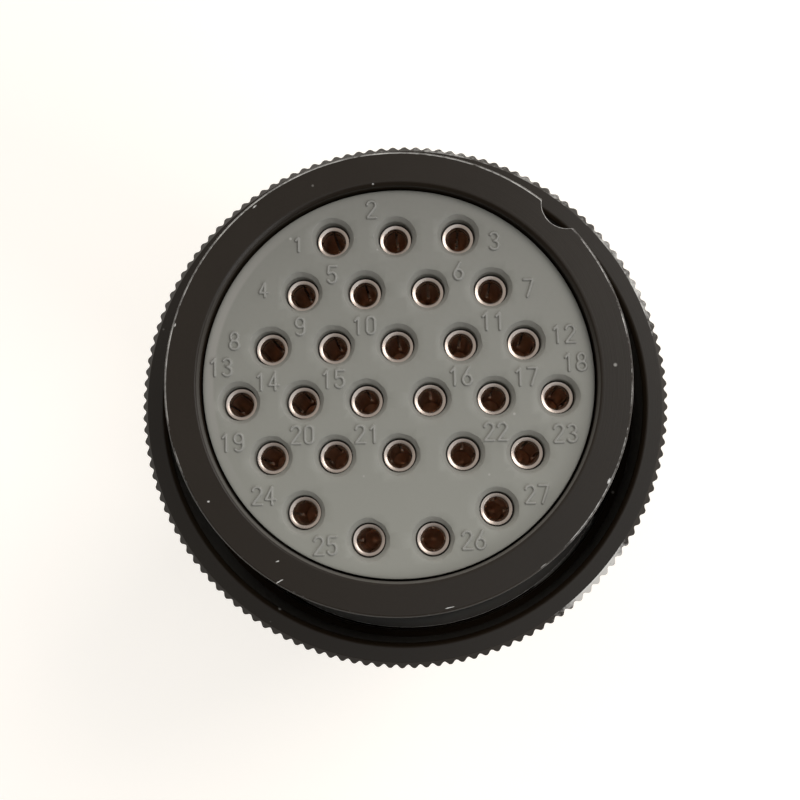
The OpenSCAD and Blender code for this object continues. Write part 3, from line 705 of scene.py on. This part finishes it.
def flat_face(outer, holes, free):
    """Triangles of a flat disc with round holes, through all the points given. Returns points and
    triangles."""
    loops = [outer] + holes
    starts = np.cumsum([0] + [len(q) for q in loops])
    points = np.concatenate(loops + [free])
    edges = [(s + k, s + (k + 1) % len(q)) for s, q in zip(starts, loops) for k in range(len(q))]
    got = delaunay_2d_cdt([Vector(p) for p in points], edges, [], 0, 1e-7)
    xy = np.array([tuple(v) for v in got[0]])
    tris = np.array(got[2])
    middle = xy[tris].mean(1)
    keep = np.hypot(*middle.T) < np.hypot(*outer.T).max()
    for q in holes:
        hub = q.mean(0)
        reach = np.hypot(*(q - hub).T).min()
        keep &= np.hypot(*(middle - hub).T) > reach * 0.985
    return xy, tris[keep]


def edge_wobble(i):
    """Small random wobble round the edge of one contact hole, eased from step to step."""
    drawn = np.tile(noise(EDGE_SEED + i, HOLE_N), 3)
    eased = np.convolve(drawn, [0.3, 0.4, 0.3], "same")[HOLE_N:2 * HOLE_N]
    return eased * (WOBBLE + WOBBLE_SPREAD * noise(SIZE_SEED + i, 1))


def face_points(strokes, lines):
    """Points that the face's mesh runs through: beside the numbers' lines, along the band of painted light
    and on a coarse grid elsewhere."""
    slack, line_clear, hole_clear, edge_clear, band_middle, band_half = 0.012, 0.08, 0.12, 0.05, 0.25, 0.5
    reaches = (0.0, STROKE_TOP, (STROKE_TOP + STROKE_FOOT) / 2, STROKE_FOOT, STROKE_FOOT + 0.04)
    got = [ridge_points(q, reaches) for q in strokes]
    points, sizes = np.concatenate([g[0] for g in got]), np.concatenate([g[1] for g in got])
    points = points[line_distance(points, lines) > sizes - slack]
    ticks = np.arange(-GRID_REACH, GRID_REACH, GRID_STEP)
    grid = np.stack([axis.ravel() for axis in np.meshgrid(ticks, ticks)], -1)
    grid = grid[np.abs(np.hypot(*grid.T) - BAND_R - band_middle) > band_half]
    rest = np.concatenate([circle(BAND_R + k, ROUND_N) for k in BAND_RUNS] + [grid])
    rest = rest[line_distance(rest, lines) > STROKE_FOOT + line_clear]
    free = np.unique(np.round(np.concatenate([points, rest]), 3), axis=0)
    gap = np.linalg.norm(free[:, None] - PLACES, axis=2).min(1)
    return free[(gap > HOLE_EDGE_R + hole_clear) & (np.hypot(*free.T) < FACE_R - edge_clear)]


def insert_top(wobbles):
    """Face with raised numbers, whose tops carry a painted highlight, and a stretch of edge painted paler as
    painted light. A number's height falls off smoothly with the distance from its lines."""
    strokes = [line for i in range(len(PLACES)) for line in number_strokes(i)]
    lines = np.concatenate([np.stack([q[:-1], q[1:]], 1) for q in strokes])
    holes = [circle(HOLE_EDGE_R, HOLE_N, p, w) for p, w in zip(PLACES, wobbles)]
    xy, tris = flat_face(circle(FACE_R, ROUND_N), holes, face_points(strokes, lines))
    rise = smooth((STROKE_FOOT - line_distance(xy, lines)) / (STROKE_FOOT - STROKE_TOP))
    run = np.hypot(*xy.T) - BAND_R
    band = np.clip((run + 0.1) / 0.2, 0, 1) * np.clip((0.75 - run) / 0.25, 0, 1)
    # Painted light: a stretch of the edge band at the left is painted paler.
    pale = band * stretch(np.arctan2(xy[:, 1], xy[:, 0]), PAINTED_LIGHT_ANGLE, PAINTED_LIGHT_WIDTH)
    return np.c_[xy, Z_FACE + STROKE_RISE * rise], tris, pale, rise


def insert_under():
    """Flat underside with a round hole for each contact."""
    holes = [circle(CAVITY_R, HOLE_N, p) for p in PLACES]
    xy, tris = flat_face(circle(INSERT_R, ROUND_N), holes, np.zeros((0, 2)))
    none = np.zeros(len(xy))
    return np.c_[xy, np.full(len(xy), Z_INSERT)], tris[:, ::-1], none, none


def insert_side():
    """Round outside with a small bevel at the face."""
    bevel = [(INSERT_R - run, Z_FACE - drop) for run, drop in FACE_BEVEL]
    outline = np.array([(INSERT_R, Z_INSERT)] + bevel + [(FACE_R, Z_FACE)])
    verts = revolve(outline[None], even_turn(ROUND_N)).reshape(-1, 3)
    none = np.zeros(len(verts))
    return verts, grid_faces(len(outline), ROUND_N, False), none, none


def insert_hole(place, wobble):
    """Countersunk wall of one contact hole, with a ragged edge."""
    a = even_turn(HOLE_N)
    r = HOLE_WALL[:, :1] + HOLE_WALL[:, 2:3] * wobble
    z = np.repeat(HOLE_WALL[:, 1:2], HOLE_N, 1)
    verts = np.stack([place[0] + r * np.cos(a), place[1] + r * np.sin(a), z], -1).reshape(-1, 3)
    # Painted light: the countersink is painted paler, most just below its edge.
    pale = np.repeat(HOLE_WALL[:, 3], HOLE_N)
    return verts, grid_faces(len(HOLE_WALL), HOLE_N, False), pale, np.zeros(len(verts))


def build_insert():
    """Moulded insert: face, underside, outside and hole walls, welded into one closed skin."""
    wobbles = [edge_wobble(i) for i in range(len(PLACES))]
    skins = [insert_top(wobbles), insert_under(), insert_side()]
    skins += [insert_hole(p, w) for p, w in zip(PLACES, wobbles)]
    starts = np.cumsum([0] + [len(s[0]) for s in skins])
    verts, pale, number_highlight = (np.concatenate([s[k] for s in skins]) for k in (0, 2, 3))
    first, faces = weld(verts, [s[1] + start for s, start in zip(skins, starts)])
    make_piece("insert_surface", "plug_body", "insert_grey", verts[first], faces,
               {"pale": pale[first], "number_highlight": number_highlight[first]}, ["insert_face", "socket_insert"])


def build_hoods():
    """Thin hoods with inturned lips: one closed outline carried round each contact's axis. The lip rises
    round its outer edge, runs in on a straight slope and turns down round the mouth."""
    slope, bend, lip, columns = 0.1, 0.07, 0.4, 48
    z_foot, z_lip = Z_NECK + STEP, Z_MOUTH - lip
    turn = np.linspace(0, math.pi / 2, 7)
    outer = np.stack([HOOD_R - bend + bend * np.cos(turn), Z_MOUTH - bend + bend * np.sin(turn)], -1)
    inner = np.stack([MOUTH_R + bend - bend * np.sin(turn), Z_MOUTH - slope - bend + bend * np.cos(turn)], -1)
    start = [(HOOD_IN_R, z_foot), (HOOD_R, z_foot), (HOOD_R, Z_MOUTH - bend - 0.2)]
    end = [(MOUTH_R, z_lip + 0.03), (MOUTH_R + STEP, z_lip), (HOOD_IN_R, z_lip), (HOOD_IN_R, z_lip - 0.05)]
    outline = np.concatenate([start, outer, inner, end])
    one = revolve(outline[None], even_turn(columns)).reshape(-1, 3)
    faces = grid_faces(len(outline), columns)
    verts = np.concatenate([one + [x, y, 0] for x, y in PLACES])
    faces = np.concatenate([faces + i * len(one) for i in range(len(PLACES))])
    make_piece("hood_surfaces", "plug_body", "hood_steel", verts, [faces], {}, ["contact_hoods"])


# Backshell and gland nut
HEX_COLUMNS, HEX_FILLET = 540, 0.12


def hexagon(angle):
    """Radius of a hexagon with flats towards +-Y, turned down at its corners."""
    d = (angle + math.pi / 6) % (math.pi / 3) - math.pi / 6
    d = math.pi / 6 - np.abs(d)
    return np.minimum(HEX_HALF / np.cos(d), HEX_CORNER_R)


def hex_outline(radius, z0, z1):
    """Outer points of a hex bar with turned-off ends: the chamfer rises half as fast as it runs out."""
    inner = np.minimum(radius, HEX_CORNER_R - 2 * EDGE)
    rise = (radius - inner) / 2 + STEP
    return [(inner, z0), (radius, z0 + rise), (radius, z1 - rise), (inner - STEP, z1)]


def build_backshell():
    """Hollow rear housing: gland stub, hex, taper and full width with two wrench flats at +-X."""
    a = even_turn(HEX_COLUMNS)
    flat = np.minimum(SHELL_R, (SHELL_R - FLAT_DEPTH) / np.maximum(np.abs(np.cos(a)), 0.2))
    outline = [(GLAND_BORE_R, Z_GLAND), (GLAND_R - EDGE, Z_GLAND), (GLAND_R, Z_GLAND + EDGE),
               (GLAND_R, Z_HEX)]
    outline += hex_outline(hexagon(a), Z_HEX, Z_TAPER)
    outline += [
        (HEX_HALF - EDGE, Z_TAPER + STEP), (SHELL_R, Z_FULL), (SHELL_R, FLAT_Z0), (flat, FLAT_Z0 + STEP),
        (flat, FLAT_Z1 - STEP), (SHELL_R, FLAT_Z1), (SHELL_R, Z_HUB - EDGE), (SHELL_R - EDGE, Z_HUB),
        (SHELL_BORE_R, Z_HUB), (SHELL_BORE_R, Z_THREAD), (CHAMBER_R, Z_THREAD), (CHAMBER_R, Z_FULL),
        (THROAT_R, Z_TAPER), (THROAT_R, Z_SEAT), (GLAND_BORE_R, Z_SEAT)]
    fillets = np.full(len(outline), HEX_FILLET)
    turned_piece("backshell_surface", "plug_body", outline, fillets, a, ["backshell"], steps=3)


def build_gland_nut():
    """Hex nut with a round end, a cable hole and a plain bored chamber."""
    a = even_turn(HEX_COLUMNS)
    outline = [(THROAT_R + EDGE, 0), (NUT_END_R - 2 * EDGE, 0), (NUT_END_R, 2 * EDGE), (NUT_END_R, NUT_END_Z)]
    outline += hex_outline(hexagon(a), NUT_END_Z, NUT_LEN)
    outline += [(NUT_BORE_R, NUT_LEN), (NUT_BORE_R, NUT_LIP), (THROAT_R, NUT_LIP), (THROAT_R, EDGE)]
    fillets = np.full(len(outline), HEX_FILLET)
    turned_piece("gland_nut_surface", "plug_body", outline, fillets, a, ["gland_nut"], steps=3)


build_shell()
build_ring()
build_thread()
build_insert()
build_hoods()
build_backshell()
build_gland_nut()

# Floor, light and camera, in metres. A lamp has a place, a size, a power and a colour.
FLOOR_REACH, FLOOR_TONE, FLOOR_LIFT = 3.0, (0.88, 0.83, 0.765, 1), 0.36
LAMPS = [("key", (0.22, 0.16, 0.46), 0.2, 0.66, (1.0, 0.965, 0.92)),
         ("side", (0.33, -0.24, 0.36), 0.2, 0.64, (0.975, 0.99, 1.0))]
LAMP_AIM = Vector((0, 0, 0.09))
WARM, NEUTRAL, COOL = (1.0, 0.96, 0.9), (0.99, 0.985, 0.98), (0.86, 0.95, 1.0)
MIDDLE, PATCH, FRONT_LEFT = (0.0, 0.2, 0.98), (0.2, -0.08, 0.976), (-0.5, -0.87, 0.0)
CAMERA_PLACE, CAMERA_TURN = (0.0030343, -0.0116347, 0.1786575), (0.116754, 0.03558, -0.018656)


def build_floor():
    """Pale warm floor, lifted to white for the camera and mirrors, which keeps the part's soft shadow."""
    s = FLOOR_REACH
    me = bpy.data.meshes.new("floor")
    me.from_pydata([(-s, -s, 0), (s, -s, 0), (s, s, 0), (-s, s, 0)], [], [(0, 1, 2, 3)])
    floor = bpy.data.objects.new("floor", me)
    bpy.context.collection.objects.link(floor)
    mat, tree, inputs = material("floor")
    inputs["Base Color"].default_value = FLOOR_TONE
    inputs["Roughness"].default_value = 0.9
    inputs["Specular IOR Level"].default_value = 0.1
    inputs["Emission Color"].default_value = (1, 1, 1, 1)
    path = add(tree, "ShaderNodeLightPath").outputs
    mirrored = maths(tree, "ADD", path["Is Glossy Ray"], path["Is Transmission Ray"])
    seen = maths(tree, "ADD", path["Is Camera Ray"], mirrored, True)
    tree.links.new(scaled(tree, seen, FLOOR_LIFT), inputs["Emission Strength"])
    me.materials.append(mat)


def build_surround():
    """White surround by direction: bright overhead round a dim middle with a cool patch on its right, bright
    low at the back, dimmer to the front left and a little warmer to the left."""
    world = bpy.data.worlds.new("surround")
    bpy.context.scene.world = world
    world.use_nodes = True
    tree = world.node_tree
    way = add(tree, "ShaderNodeTexCoord").outputs["Generated"]
    x, y, z = axes_of(tree, way)

    def eased(value, start, end, height):
        """A ramp with soft ends."""
        return ramp(tree, value, start, end, height, "SMOOTHSTEP")

    def toward(direction):
        """How far a ray's way points in a direction."""
        dot = add(tree, "ShaderNodeVectorMath", operation="DOT_PRODUCT", in0=way, in1=direction)
        return dot.outputs["Value"]

    def dimmed(level, share):
        """Takes a share of the level away."""
        return maths(tree, "MULTIPLY", level, maths(tree, "SUBTRACT", 1.0, share))

    level = maths(tree, "ADD", eased(z, 0.55, 0.85, 0.6), 0.35)
    back = maths(tree, "MULTIPLY", eased(z, 0.5, 0.1, 1.0), eased(y, -0.3, 0.5, 1.5))
    level = dimmed(maths(tree, "ADD", level, back), eased(toward(FRONT_LEFT), 0.05, 0.6, 0.6))
    level = dimmed(level, eased(toward(MIDDLE), 0.94, 0.985, 0.58))
    window = eased(toward(PATCH), 0.955, 0.995, 1.0)
    level = maths(tree, "ADD", level, scaled(tree, window, 0.8))
    tint = mix(tree, eased(x, -0.5, 0.5, 1.0), WARM, NEUTRAL)
    sky = tree.nodes["Background"].inputs
    tree.links.new(mix(tree, window, tint, COOL), sky["Color"])
    tree.links.new(level, sky["Strength"])


def build_lamps():
    """A soft lamp at the upper right and a cooler one at the lower right."""
    for name, place, size, power, colour in LAMPS:
        lamp = bpy.data.lights.new(name, "AREA")
        lamp.size = size
        lamp.energy = power
        lamp.color = colour
        obj = bpy.data.objects.new(name, lamp)
        bpy.context.collection.objects.link(obj)
        obj.location = place
        obj.rotation_euler = (LAMP_AIM - Vector(place)).to_track_quat("-Z", "Y").to_euler()


def build_camera():
    """Camera over the mating face, a little to the front and the right."""
    cam = bpy.data.cameras.new("camera")
    cam.sensor_width, cam.lens = 36.0, 52.2
    cam.clip_start, cam.clip_end = 0.005, 20.0
    view = bpy.data.objects.new("camera", cam)
    bpy.context.collection.objects.link(view)
    view.location = CAMERA_PLACE
    view.rotation_euler = Euler(CAMERA_TURN)
    bpy.context.scene.camera = view


build_floor()
build_surround()
build_lamps()
build_camera()
bpy.context.scene.view_settings.view_transform = "Standard"
